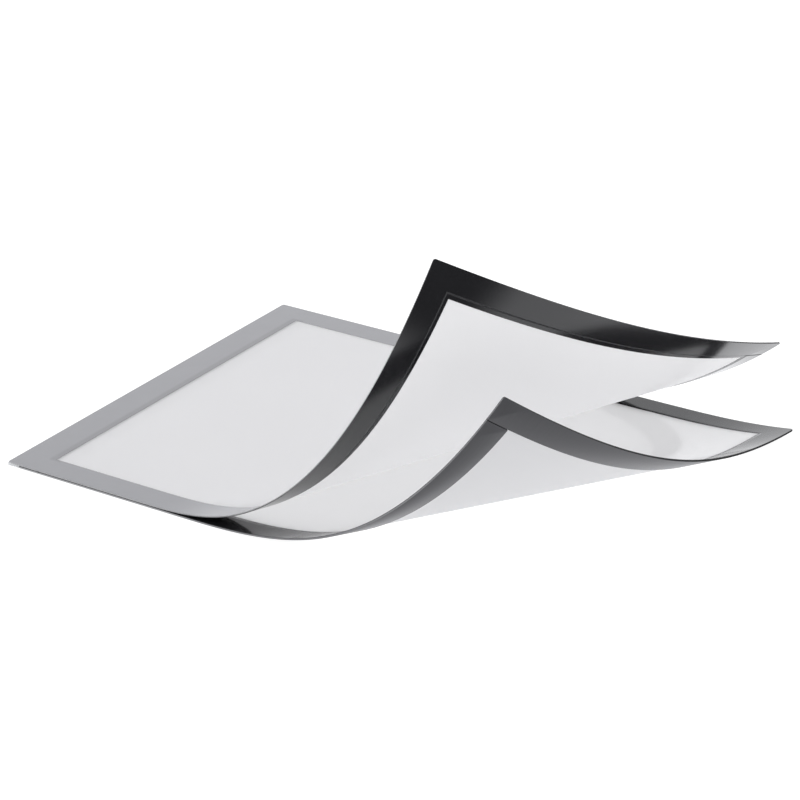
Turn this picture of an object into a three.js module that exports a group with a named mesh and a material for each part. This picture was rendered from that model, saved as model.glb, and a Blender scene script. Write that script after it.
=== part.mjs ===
// A thin magnetic display frame for one A4 page, peeled open at its free end.
//
// Millimetres, +Z up. The frame lies on the flat part of its back, and the origin is the middle of the underside of
// the back sheet's bound magnet strip. Each sheet is laid out flat first, with x running from the bound edge to the
// free edge and y from the near edge to the far edge, and then it is curled.
//
// A curled sheet keeps its lengths. It turns about straight lines that fan out from one point in its flat plane,
// so the flat part runs over into the side of a cone, and every layer keeps its distance from the sheet's middle.
import * as THREE from 'three';

// Outline of both sheets
const LENGTH = 323;
const WIDTH = 236;
const CORNER_RADIUS = 1.2;
const CORNER_STEPS = 3;

// Clear strip that joins the two sheets along the bound edge
const BINDING_WIDTH = 7;
const BINDING_SLOT_DEPTH = 4.5;

// Border of the cover, round its window
const COVER_BORDER_BOUND = 19.8;
const COVER_BORDER_LONG = 14.9;
const COVER_BORDER_FREE = 15.4;

// Magnet strips: the cover's are narrower than its border, the back's are seen from both sides
const COVER_MAGNET_WIDTH = 12.4;
const REAR_MAGNET_LONG = 13.1;
const REAR_MAGNET_FREE = 13.3;
const REAR_MAGNET_BOUND = 12.4;
const BUTT_GAP = 0.4;

// Thickness of each layer, from the back up, and the bond line between two layers
const REAR_MAGNET = 0.85;
const REAR_FILM = 0.15;
const PAGE_GAP = 0.06;
const BACKING_FILM = 0.07;
const COVER_MAGNET = 0.35;
const COVER_FILM = 0.15;
const BORDER_FOIL = 0.07;
const BOND_LINE = 0.04;

// Curl of the back sheet. It starts on a line that meets the near edge at start and leans by slant, in degrees, and
// the lines of the curl meet apexDistance in front of the near edge. Over the length rise the curl tightens to
// radius, and over the length decay it eases off again.
const REAR_CURL = { start: 107.8, slant: 30.7, apexDistance: 803, radius: 74.7, rise: 77.5, decay: 357 };

// The cover peels off the back, so its own curl starts earlier by COVER_LEAD and is tighter by COVER_TIGHTER
const COVER_LEAD = 24.1;
const COVER_TIGHTER = 4.2;
const COVER_CURL = {
  start: REAR_CURL.start - COVER_LEAD,
  slant: 16.1,
  apexDistance: 309,
  radius: REAR_CURL.radius - COVER_TIGHTER,
  rise: 49.6,
  decay: 331,
};

// Turn between two neighbouring facets of a curl, in degrees, and the step that follows the curl, in millimetres
const FACET_TURN = 2;
const TRACE_STEP = 0.25;

// Two points closer than this, in millimetres, are one corner
const SAME_POINT = 1e-4;

// Heights of the layers of the closed frame, and of each sheet's middle
const rearMagnetLayer = layerAbove(0, REAR_MAGNET);
const rearFilmLayer = layerAbove(rearMagnetLayer.top + BOND_LINE, REAR_FILM);
const backingLayer = layerAbove(rearFilmLayer.top + PAGE_GAP, BACKING_FILM);
const coverMagnetLayer = layerAbove(backingLayer.top + BOND_LINE, COVER_MAGNET);
const coverFilmLayer = layerAbove(coverMagnetLayer.top + BOND_LINE, COVER_FILM);
const foilLayer = layerAbove(coverFilmLayer.top + BOND_LINE, BORDER_FOIL);
const rearMiddle = rearFilmLayer.top / 2;
const coverMiddle = (backingLayer.bottom + foilLayer.top) / 2;

/** The heights of a layer of this thickness whose underside is at bottom. */
function layerAbove(bottom, thickness) {
  return { bottom, top: bottom + thickness };
}

/** The curl of one sheet: the lines it turns about, with the direction and the sheet's normal along each. */
class Curl {
  constructor({ start, slant, apexDistance, radius, rise, decay }) {
    const lean = THREE.MathUtils.degToRad(slant);
    this.along = new THREE.Vector3(Math.sin(lean), Math.cos(lean), 0);
    this.across = new THREE.Vector3(Math.cos(lean), -Math.sin(lean), 0);
    this.apex = new THREE.Vector3(start, 0, 0).addScaledVector(this.along, -apexDistance);
    this.apexDistance = apexDistance;
    this.bend = (length) => (length < rise ? length / rise : Math.exp((rise - length) / decay)) / radius;
    this.lines = [{ angle: 0, direction: this.along.clone(), normal: new THREE.Vector3(0, 0, 1) }];
    this.trace(Math.max(this.angleOf(LENGTH, 0), this.angleOf(LENGTH, WIDTH)));
  }

  /** The angle at the apex between the first line of the curl and a point of the flat sheet. */
  angleOf(x, y) {
    const offset = new THREE.Vector3(x, y, 0).sub(this.apex);
    return Math.atan2(offset.dot(this.across), offset.dot(this.along));
  }

  /** Follows the curl to the sheet's last corner and keeps a line after each FACET_TURN of bending. */
  trace(lastAngle) {
    const direction = this.along.clone();
    const normal = new THREE.Vector3(0, 0, 1);
    const facetTurn = THREE.MathUtils.degToRad(FACET_TURN);
    const steps = Math.ceil((lastAngle * this.apexDistance) / TRACE_STEP) + 1;
    let turned = 0;
    for (let step = 1; step <= steps; step += 1) {
      const bend = this.bend((step - 0.5) * TRACE_STEP);
      const spin = normal.clone().addScaledVector(direction, bend * this.apexDistance).negate();
      const turn = (spin.length() * TRACE_STEP) / this.apexDistance;
      spin.normalize();
      direction.applyAxisAngle(spin, turn);
      normal.applyAxisAngle(spin, turn);
      turned += bend * TRACE_STEP;
      if (turned >= facetTurn || step === steps) {
        const angle = (step * TRACE_STEP) / this.apexDistance;
        this.lines.push({ angle, direction: direction.clone(), normal: normal.clone() });
        turned = 0;
      }
    }
  }

  /** How far a point of the flat sheet lies past a line of the curl. */
  past(line, [x, y]) {
    const side = this.across.clone().multiplyScalar(Math.cos(line.angle));
    side.addScaledVector(this.along, -Math.sin(line.angle));
    return (x - this.apex.x) * side.x + (y - this.apex.y) * side.y;
  }

  /** Where a point of the flat sheet ends up, at a height over the sheet's middle. */
  place([x, y], height) {
    const angle = this.angleOf(x, y);
    if (angle <= 0) return new THREE.Vector3(x, y, height);
    const next = this.lines.findIndex((line, i) => i > 0 && line.angle >= angle);
    const [before, after] = [this.lines[next - 1], this.lines[next]];
    const reach = Math.hypot(x - this.apex.x, y - this.apex.y) / Math.sin(after.angle - before.angle);
    const fromBefore = reach * Math.sin(after.angle - angle);
    const fromAfter = reach * Math.sin(angle - before.angle);
    const share = fromAfter / (fromBefore + fromAfter);
    return this.apex.clone()
      .addScaledVector(before.direction, fromBefore)
      .addScaledVector(after.direction, fromAfter)
      .addScaledVector(before.normal, height * (1 - share))
      .addScaledVector(after.normal, height * share);
  }
}

/** The part of a convex outline that lies past a line of the curl (sign 1) or before it (sign -1). */
function clip(outline, curl, line, sign) {
  const depths = outline.map((point) => sign * curl.past(line, point));
  return outline.flatMap((point, i) => {
    const next = (i + 1) % outline.length;
    const kept = depths[i] >= 0 ? [point] : [];
    const crosses = depths[i] * depths[next] < 0;
    if (!crosses) return kept;
    const share = depths[i] / (depths[i] - depths[next]);
    return [...kept, point.map((value, axis) => value + share * (outline[next][axis] - value))];
  });
}

/** A convex outline cut along the lines of a curl: the flat part first, then one piece for each facet. */
function facetsOf(outline, curl) {
  const facets = [clip(outline, curl, curl.lines[0], -1)];
  for (let i = 1; i < curl.lines.length; i += 1) {
    facets.push(clip(clip(outline, curl, curl.lines[i - 1], 1), curl, curl.lines[i], -1));
  }
  return facets;
}

/** A layer of a sheet as one closed solid. Its outlines are convex, run anticlockwise and meet along whole edges. */
function laminate(outlines, curl, { bottom, top }, middle) {
  const corners = new Map();
  const positions = [];
  const cornerOf = (point) => {
    const key = point.map((value) => Math.round(value / SAME_POINT)).join();
    if (!corners.has(key)) {
      corners.set(key, corners.size);
      positions.push(...curl.place(point, top - middle), ...curl.place(point, bottom - middle));
    }
    return corners.get(key);
  };
  const loops = outlines.flatMap((outline) => facetsOf(outline, curl))
    .map((facet) => facet.map(cornerOf).filter((corner, i, loop) => corner !== loop[(i + 1) % loop.length]))
    .filter((loop) => loop.length > 2);
  const edges = new Set(loops.flatMap((loop) => loop.map((corner, i) => [corner, loop[(i + 1) % loop.length]].join())));
  const upper = (corner) => 2 * corner;
  const lower = (corner) => 2 * corner + 1;
  const triangles = [];
  for (const loop of loops) {
    for (let i = 1; i < loop.length - 1; i += 1) {
      triangles.push(upper(loop[0]), upper(loop[i]), upper(loop[i + 1]));
      triangles.push(lower(loop[0]), lower(loop[i + 1]), lower(loop[i]));
    }
    loop.forEach((from, i) => {
      const to = loop[(i + 1) % loop.length];
      if (edges.has([to, from].join())) return;
      triangles.push(upper(from), lower(from), lower(to));
      triangles.push(upper(from), lower(to), upper(to));
    });
  }
  const geometry = new THREE.BufferGeometry();
  geometry.setAttribute('position', new THREE.Float32BufferAttribute(positions, 3));
  geometry.setIndex(triangles);
  geometry.computeVertexNormals();
  return geometry;
}

/** A rectangle of the flat sheet, anticlockwise, whose corners are rounded where they are the sheet's own. */
function rectangle(x0, x1, y0, y1) {
  const corners = [[x0, y0], [x1, y0], [x1, y1], [x0, y1]];
  return corners.flatMap(([x, y], i) => {
    const isSheetCorner = (x === 0 || x === LENGTH) && (y === 0 || y === WIDTH);
    if (!isSheetCorner) return [[x, y]];
    const centreX = x === 0 ? CORNER_RADIUS : LENGTH - CORNER_RADIUS;
    const centreY = y === 0 ? CORNER_RADIUS : WIDTH - CORNER_RADIUS;
    return Array.from({ length: CORNER_STEPS + 1 }, (_, step) => {
      const angle = (Math.PI / 2) * (i + 2 + step / CORNER_STEPS);
      return [centreX + CORNER_RADIUS * Math.cos(angle), centreY + CORNER_RADIUS * Math.sin(angle)];
    });
  });
}

/** The outlines of a die-cut ring whose window is set in by these borders. */
function ring(boundEdge, bound, long, free) {
  const xs = [boundEdge, bound, LENGTH - free, LENGTH];
  const ys = [0, long, WIDTH - long, WIDTH];
  const cells = [];
  for (let i = 0; i < 3; i += 1) {
    for (let j = 0; j < 3; j += 1) {
      const isWindow = i === 1 && j === 1;
      if (!isWindow) cells.push(rectangle(xs[i], xs[i + 1], ys[j], ys[j + 1]));
    }
  }
  return cells;
}

/** The four magnet strips of a sheet: short ones over the whole width, long ones that butt against them. */
function magnetStrips(prefix, { bound, long, free }) {
  const boundStart = BINDING_WIDTH + BUTT_GAP;
  const longStart = boundStart + bound + BUTT_GAP;
  const longEnd = LENGTH - free - BUTT_GAP;
  return {
    [`${prefix}_magnet_bound`]: rectangle(boundStart, boundStart + bound, 0, WIDTH),
    [`${prefix}_magnet_free`]: rectangle(LENGTH - free, LENGTH, 0, WIDTH),
    [`${prefix}_magnet_near`]: rectangle(longStart, longEnd, 0, long),
    [`${prefix}_magnet_far`]: rectangle(longStart, longEnd, WIDTH - long, WIDTH),
  };
}

/** The clear strip folded round the bound edge of the back film: a bar with a slot along its inner side. */
function bindingStrip() {
  const upperEdge = coverFilmLayer.bottom - BOND_LINE;
  const slotStart = BINDING_WIDTH - BINDING_SLOT_DEPTH;
  const profile = new THREE.Shape([
    new THREE.Vector2(0, 0),
    new THREE.Vector2(BINDING_WIDTH, 0),
    new THREE.Vector2(BINDING_WIDTH, rearFilmLayer.bottom - BOND_LINE),
    new THREE.Vector2(slotStart, rearFilmLayer.bottom - BOND_LINE),
    new THREE.Vector2(slotStart, rearFilmLayer.top + BOND_LINE),
    new THREE.Vector2(BINDING_WIDTH, rearFilmLayer.top + BOND_LINE),
    new THREE.Vector2(BINDING_WIDTH, upperEdge),
    new THREE.Vector2(0, upperEdge),
  ]);
  const geometry = new THREE.ExtrudeGeometry(profile, { depth: WIDTH, bevelEnabled: false });
  geometry.rotateX(Math.PI / 2);
  geometry.translate(0, WIDTH, -rearMiddle);
  return geometry;
}

/** A material for one kind of layer. */
function finish(color, roughness, metalness = 0) {
  return new THREE.MeshStandardMaterial({ color, roughness, metalness });
}

const silverFoil = finish(0x9fa0a4, 0.5, 0.35);
const frostedFilm = finish(0xe2e4e6, 0.6);
const clearFilm = finish(0xd8dadc, 0.25);
const glossBlack = finish(0x141416, 0.12);
const magnetSheet = finish(0x55565a, 0.7);
const clearStrip = finish(0xe9ebec, 0.3);

/** Adds one named piece to a sheet. */
function addPiece(sheet, name, geometry, material) {
  const piece = new THREE.Mesh(geometry, material);
  piece.name = name;
  sheet.add(piece);
}

/** The back sheet, with its middle at height 0. */
function rearSheet() {
  const sheet = new THREE.Group();
  const curl = new Curl(REAR_CURL);
  const filmStart = BINDING_WIDTH - BINDING_SLOT_DEPTH + BOND_LINE;
  const film = rectangle(filmStart, LENGTH, 0, WIDTH);
  addPiece(sheet, 'rear_window_film', laminate([film], curl, rearFilmLayer, rearMiddle), clearFilm);
  const strips = magnetStrips('rear', { bound: REAR_MAGNET_BOUND, long: REAR_MAGNET_LONG, free: REAR_MAGNET_FREE });
  for (const [name, outline] of Object.entries(strips)) {
    addPiece(sheet, name, laminate([outline], curl, rearMagnetLayer, rearMiddle), magnetSheet);
  }
  addPiece(sheet, 'binding_strip', bindingStrip(), clearStrip);
  return sheet;
}

/** The cover, with its middle at height 0. */
function coverSheet() {
  const sheet = new THREE.Group();
  const curl = new Curl(COVER_CURL);
  const filmOutline = rectangle(0, LENGTH, 0, WIDTH);
  const foilOutlines = ring(0, COVER_BORDER_BOUND, COVER_BORDER_LONG, COVER_BORDER_FREE);
  const backingStart = BINDING_WIDTH + BUTT_GAP;
  const backingOutlines = ring(backingStart, COVER_BORDER_BOUND, COVER_BORDER_LONG, COVER_BORDER_FREE);
  addPiece(sheet, 'cover_border_foil', laminate(foilOutlines, curl, foilLayer, coverMiddle), silverFoil);
  addPiece(sheet, 'cover_window_film', laminate([filmOutline], curl, coverFilmLayer, coverMiddle), frostedFilm);
  addPiece(sheet, 'cover_backing_film', laminate(backingOutlines, curl, backingLayer, coverMiddle), glossBlack);
  const boundWidth = COVER_BORDER_BOUND - backingStart;
  const strips = magnetStrips('cover', { bound: boundWidth, long: COVER_MAGNET_WIDTH, free: COVER_MAGNET_WIDTH });
  for (const [name, outline] of Object.entries(strips)) {
    addPiece(sheet, name, laminate([outline], curl, coverMagnetLayer, coverMiddle), magnetSheet);
  }
  return sheet;
}

const frame = new THREE.Group();
const originX = BINDING_WIDTH + BUTT_GAP + REAR_MAGNET_BOUND / 2;
const rear = rearSheet();
rear.position.z = rearMiddle;
const cover = coverSheet();
cover.position.z = coverMiddle;
frame.add(rear, cover);
frame.position.set(-originX, -WIDTH / 2, 0);
frame.updateMatrixWorld(true);

export default frame;
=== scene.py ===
"""Looks of a thin magnetic display frame for an A4 page, peeled open at its free end.

Every piece is laid out flat first, with x running from the bound edge to the free edge and y from the near
edge to the far edge. A Geometry Nodes tree then curls it about straight lines that fan out from one point,
so lengths stay as they are and all layers of a sheet keep their distance. Sizes are in metres.
"""

from __future__ import annotations

import logging
import math
from collections.abc import Callable, Sequence
from dataclasses import dataclass, field
from enum import Enum
from typing import Any

import bmesh
import bpy
from mathutils import Euler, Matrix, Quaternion, Vector

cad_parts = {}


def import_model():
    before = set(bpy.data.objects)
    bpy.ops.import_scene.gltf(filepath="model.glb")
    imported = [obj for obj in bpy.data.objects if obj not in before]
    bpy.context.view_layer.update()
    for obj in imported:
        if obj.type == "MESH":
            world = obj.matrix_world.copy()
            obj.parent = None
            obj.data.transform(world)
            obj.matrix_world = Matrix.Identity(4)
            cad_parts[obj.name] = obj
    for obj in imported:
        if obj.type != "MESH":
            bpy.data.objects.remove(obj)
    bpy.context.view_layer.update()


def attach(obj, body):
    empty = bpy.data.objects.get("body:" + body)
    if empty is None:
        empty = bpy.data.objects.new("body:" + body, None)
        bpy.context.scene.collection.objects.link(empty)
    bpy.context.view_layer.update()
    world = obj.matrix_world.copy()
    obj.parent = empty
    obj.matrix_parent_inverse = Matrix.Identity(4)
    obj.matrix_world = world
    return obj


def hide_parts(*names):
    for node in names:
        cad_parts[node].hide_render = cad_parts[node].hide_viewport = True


LOG = logging.getLogger("magnetic_display_frame")
MM = 0.001

# Names of the UV maps: the place on the flat sheet, and 1 on the upper side of a layer.
FLAT_UV = "flat"
SIDE_UV = "side"
# Attribute of a curl's guide that holds the sheet's normal.
NORMAL_ATTRIBUTE = "sheet_normal"
# Share of light that a clear surface mirrors straight on.
HEAD_ON = 0.04
# Distances within which corners are welded and a cut takes up points.
WELD = 1e-6
CUT_REACH = 1e-7
# Height of a face's normal past which the face counts as level.
LEVEL = 0.5

Colour = tuple[float, float, float, float]
Pair = tuple[float, float]
# Lowest x, highest x, lowest y and highest y.
Box = tuple[float, float, float, float]


class Body(Enum):
    """The two bodies of the frame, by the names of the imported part."""

    BACK = "back_sheet"
    COVER = "cover"


class Slot(Enum):
    """The finishes of the frame, by the names of the record's material slots."""

    SILVER = "silver_foil"
    FROSTED = "frosted_film"
    BLACK = "gloss_black_film"
    MAGNET = "magnet_sheet"
    CLEAR = "clear_film"
    STRIP = "clear_strip"


@dataclass(frozen=True)
class Outline:
    """The flat outline that both sheets share.

    Args:
        length: Bound edge to free edge.
        width: Near edge to far edge.
        corner_radius: Rounding of the four outer corners.
        corner_steps: Straight pieces in one rounded corner.
        binding_width: Width of the clear strip along the bound edge.
        binding_slot: Depth of the slot in that strip.
        butt_gap: Gap where two strips meet.
    """

    length: float = 323 * MM
    width: float = 236 * MM
    corner_radius: float = 1.2 * MM
    corner_steps: int = 6
    binding_width: float = 7 * MM
    binding_slot: float = 4.5 * MM
    butt_gap: float = 0.4 * MM

    @property
    def strip_start(self) -> float:
        """Where the magnet strips start, past the clear strip."""
        return self.binding_width + self.butt_gap


@dataclass(frozen=True)
class Layer:
    """One layer of the closed frame.

    Args:
        bottom: Height of its underside.
        thickness: Its thickness.
    """

    bottom: float
    thickness: float

    @property
    def top(self) -> float:
        """Height of its upper side."""
        return self.bottom + self.thickness

    def above(self, gap: float, thickness: float) -> Layer:
        """The next layer up, past a gap."""
        return Layer(self.top + gap, thickness)


BOND_LINE = 0.04 * MM
PAGE_GAP = 0.06 * MM
REAR_MAGNET = Layer(0.0, 0.85 * MM)
REAR_FILM = REAR_MAGNET.above(BOND_LINE, 0.15 * MM)
BACKING = REAR_FILM.above(PAGE_GAP, 0.07 * MM)
COVER_MAGNET = BACKING.above(BOND_LINE, 0.35 * MM)
COVER_FILM = COVER_MAGNET.above(BOND_LINE, 0.15 * MM)
FOIL = COVER_FILM.above(BOND_LINE, 0.07 * MM)
REAR_MIDDLE = REAR_FILM.top / 2
COVER_MIDDLE = (BACKING.bottom + FOIL.top) / 2
SHEET = Outline()


@dataclass(frozen=True)
class CurlLine:
    """One straight line of a curl.

    Args:
        angle: Its angle at the apex, in the flat sheet.
        direction: Its direction once the sheet is curled.
        normal: The sheet's normal along it.
    """

    angle: float
    direction: Vector
    normal: Vector


@dataclass(frozen=True)
class Curl:
    """How one sheet curls.

    Args:
        start: Where the first line of the curl meets the near edge.
        slant: Lean of that line, in degrees.
        apex_distance: Distance from the near edge to where all lines meet.
        radius: Tightest radius, measured at apex_distance.
        rise: Length over which the curl tightens.
        decay: Length over which it eases off.
        step: Length of one step along the curl.
    """

    start: float
    slant: float
    apex_distance: float
    radius: float
    rise: float
    decay: float
    step: float = 0.5 * MM

    @property
    def along(self) -> Vector:
        """Direction of the first line in the flat sheet."""
        lean = math.radians(self.slant)
        return Vector((math.sin(lean), math.cos(lean), 0))

    @property
    def across(self) -> Vector:
        """Direction square to the first line, towards the free edge."""
        lean = math.radians(self.slant)
        return Vector((math.cos(lean), -math.sin(lean), 0))

    @property
    def apex(self) -> Vector:
        """The point where all lines of the curl meet."""
        return Vector((self.start, 0, 0)) - self.along * self.apex_distance

    def bend(self, length: float) -> float:
        """Curvature at a length along the curl, in 1/m."""
        share = length / self.rise if length < self.rise else math.exp((self.rise - length) / self.decay)
        return share / self.radius

    def angle_of(self, x: float, y: float) -> float:
        """Angle at the apex between the first line and a point of the flat sheet."""
        offset = Vector((x, y, 0)) - self.apex
        return math.atan2(offset.dot(self.across), offset.dot(self.along))

    def lines(self) -> list[CurlLine]:
        """Follows the curl to the sheet's last corner.

        Returns:
            One line for each step.
        """
        last = max(self.angle_of(SHEET.length, 0), self.angle_of(SHEET.length, SHEET.width))
        direction, normal = self.along.copy(), Vector((0, 0, 1))
        found = [CurlLine(0.0, direction.copy(), normal.copy())]
        for index in range(math.ceil(last * self.apex_distance / self.step) + 1):
            bend = self.bend((index + 0.5) * self.step)
            spin = -(normal + direction * bend * self.apex_distance)
            turn = Quaternion(spin.normalized(), spin.length * self.step / self.apex_distance)
            direction, normal = turn @ direction, turn @ normal
            angle = (index + 1) * self.step / self.apex_distance
            found.append(CurlLine(angle, direction.copy(), normal.copy()))
        return found

    def cuts(self, turn: float) -> list[float]:
        """Angles of the lines along which the flat pieces are cut.

        Args:
            turn: Bending between two cuts, in degrees.

        Returns:
            The angles, starting with the first line's.
        """
        angles, turned = [0.0], 0.0
        for index, line in enumerate(self.lines()[1:]):
            turned += math.degrees(self.bend((index + 0.5) * self.step) * self.step)
            if turned >= turn:
                angles.append(line.angle)
                turned = 0.0
        return angles


REAR_CURL = Curl(107.8 * MM, 30.7, 803 * MM, 74.7 * MM, 77.5 * MM, 357 * MM)
COVER_CURL = Curl(83.7 * MM, 16.1, 309 * MM, 70.5 * MM, 49.6 * MM, 331 * MM)


@dataclass(frozen=True)
class Grain:
    """A pattern of noise.

    Args:
        scale: Waves in a metre.
        detail: Octaves of detail.
        stretch: How many times finer it is along each axis.
        height: Height of its bumps.
    """

    scale: float
    detail: float = 2.0
    stretch: tuple[float, float, float] = (1, 1, 1)
    height: float = 0.0


def toned(colour: Colour, factor: float, shift: float = 0.0) -> Colour:
    """A colour times a factor, plus a shift."""
    return tuple(value * factor + shift for value in colour[:3]) + (1,)


def varied(roughness: Pair, pattern: Wire) -> Wire:
    """Roughness that follows a pattern, from its mean and its range."""
    mean, span = roughness
    return mean + (pattern - 0.5) * span


class Wire:
    """A shader or geometry socket that works out sums when it is used in an expression."""

    def __init__(self, graph: Graph, socket: bpy.types.NodeSocket) -> None:
        """Wraps an output socket of a graph."""
        self.graph = graph
        self.socket = socket

    def _math(self, operation: str, *values: Any) -> Wire:
        """Adds one Math node for wires or numbers."""
        return self.graph.node("ShaderNodeMath", {"operation": operation}, dict(enumerate(values)))

    def __add__(self, other: Any) -> Wire:
        """Sum."""
        return self._math("ADD", self, other)

    __radd__ = __add__

    def __sub__(self, other: Any) -> Wire:
        """Difference."""
        return self._math("SUBTRACT", self, other)

    def __rsub__(self, other: Any) -> Wire:
        """Difference, reflected."""
        return self._math("SUBTRACT", other, self)

    def __mul__(self, other: Any) -> Wire:
        """Product."""
        return self._math("MULTIPLY", self, other)

    __rmul__ = __mul__

    def __truediv__(self, other: Any) -> Wire:
        """Quotient."""
        return self._math("DIVIDE", self, other)

    def __gt__(self, other: Any) -> Wire:
        """1 where this is greater, else 0."""
        return self._math("GREATER_THAN", self, other)

    def __lt__(self, other: Any) -> Wire:
        """1 where this is less, else 0."""
        return self._math("LESS_THAN", self, other)

    def absolute(self) -> Wire:
        """Absolute value."""
        return self._math("ABSOLUTE", self)

    def smaller(self, other: Any) -> Wire:
        """The smaller of the two."""
        return self._math("MINIMUM", self, other)

    def ramp(self, low: float, high: float) -> Wire:
        """0 below low, 1 above high and smooth between.

        Args:
            low: Where it starts to rise.
            high: Where it has risen.

        Returns:
            The share.
        """
        settings = {"interpolation_type": "SMOOTHSTEP"}
        values = {"Value": self, "From Min": low, "From Max": high}
        return self.graph.node("ShaderNodeMapRange", settings, values)


class Graph:
    """Nodes of one tree, made by one method."""

    def __init__(self, tree: bpy.types.NodeTree) -> None:
        """Empties the tree that it will fill."""
        self.tree = tree
        tree.nodes.clear()

    def node(self, kind: str, settings: dict[str, Any], values: dict[Any, Any], output: Any = 0) -> Wire:
        """Adds a node.

        Args:
            kind: The node's type.
            settings: Its own properties, set first.
            values: Wires or plain values by socket name or number.
            output: Name or number of the output that is returned.

        Returns:
            That output.
        """
        made = self.tree.nodes.new(kind)
        for name, value in settings.items():
            setattr(made, name, value)
        for name, value in values.items():
            socket = made.inputs[name]
            if isinstance(value, Wire):
                self.tree.links.new(value.socket, socket)
            else:
                socket.default_value = value
        return Wire(self, made.outputs[output] if made.outputs else None)

    def shader(self, kind: str, values: dict[str, Any]) -> Wire:
        """Adds a shader node, named by the end of its type."""
        return self.node(f"ShaderNodeBsdf{kind}", {}, values)

    def blend(self, share: Any, first: Wire, second: Wire) -> Wire:
        """Mixes two shaders, by the share of the second."""
        return self.node("ShaderNodeMixShader", {}, {0: share, 1: first, 2: second})

    def mix(self, share: Any, first: Any, second: Any) -> Wire:
        """Mixes two colours, by the share of the second."""
        return self.node("ShaderNodeMix", {"data_type": "RGBA"}, {0: share, 6: first, 7: second}, 2)

    def vector(self, operation: str, *values: Any, output: str = "Vector") -> Wire:
        """Adds one Vector Math node for wires or vectors."""
        settings = {"operation": operation}
        return self.node("ShaderNodeVectorMath", settings, dict(enumerate(values)), output)

    def scaled(self, vector: Wire, factor: Any) -> Wire:
        """A vector times a number."""
        return self.node("ShaderNodeVectorMath", {"operation": "SCALE"}, {0: vector, "Scale": factor})

    def dot(self, first: Any, second: Any) -> Wire:
        """Dot product of two vectors."""
        return self.vector("DOT_PRODUCT", first, second, output="Value")

    def split(self, vector: Wire) -> tuple[Wire, ...]:
        """X, Y and Z of a vector."""
        made = self.node("ShaderNodeSeparateXYZ", {}, {"Vector": vector}).socket.node
        return tuple(Wire(self, socket) for socket in made.outputs)


class SheetGraph(Graph):
    """Nodes of a material whose patterns lie on the flat sheet, in metres."""

    def __init__(self, tree: bpy.types.NodeTree) -> None:
        """Empties the tree and finds the place on the flat sheet."""
        super().__init__(tree)
        self.place = self.uv(FLAT_UV)

    def uv(self, name: str) -> Wire:
        """One of the piece's UV maps."""
        return self.node("ShaderNodeUVMap", {"uv_map": name}, {})

    def noise(self, grain: Grain) -> Wire:
        """Noise over the sheet, from 0 to 1.

        Args:
            grain: Its pattern.

        Returns:
            The noise.
        """
        scaled = self.node("ShaderNodeMapping", {}, {"Vector": self.place, "Scale": grain.stretch})
        values = {"Vector": scaled, "Scale": grain.scale, "Detail": grain.detail}
        return self.node("ShaderNodeTexNoise", {"noise_dimensions": "3D"}, values)

    def bump(self, height: Wire, distance: float = 1.0, strength: float = 1.0) -> Wire:
        """A normal that a height times a distance bumps."""
        values = {"Height": height, "Distance": distance, "Strength": strength}
        return self.node("ShaderNodeBump", {}, values)

    def film(self, share: Any, values: dict[str, Any], colour: Colour) -> Wire:
        """A surface that scatters a share of the light through, in a colour of its own."""
        through = self.shader("Translucent", {"Color": colour})
        return self.blend(share, self.shader("Principled", values), through)

    def mirrored(self) -> Wire:
        """Share of light that a clear surface mirrors, from straight on to low angles.

        Returns:
            The share.
        """
        facing = self.node("ShaderNodeLayerWeight", {}, {"Blend": 0.5}, "Facing")
        square = facing * facing
        return square * square * facing * (1 - HEAD_ON) + HEAD_ON

    def upper(self) -> Wire:
        """1 where the upper side of a layer is seen and faces up, else 0.

        Returns:
            The switch.
        """
        normal = self.node("ShaderNodeNewGeometry", {}, {}, "True Normal")
        return self.split(self.uv(SIDE_UV))[0] * (self.split(normal)[2] > 0.0)


@dataclass(frozen=True)
class Finish:
    """A finish of the frame: what all finishes share.

    Args:
        slot: The record's material slot.
        colour: Mean or palest colour.
        roughness: Mean and range of the roughness.
    """

    slot: Slot
    colour: Colour
    roughness: Pair

    def build(self) -> bpy.types.Material:
        """Makes the material.

        Returns:
            The material.
        """
        material = bpy.data.materials.new(self.slot.value)
        material.use_nodes = True
        graph = SheetGraph(material.node_tree)
        graph.node("ShaderNodeOutputMaterial", {}, {"Surface": self.surface(graph)})
        return material

    def surface(self, graph: SheetGraph) -> Wire:
        """Makes the surface shader."""
        raise NotImplementedError


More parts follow.
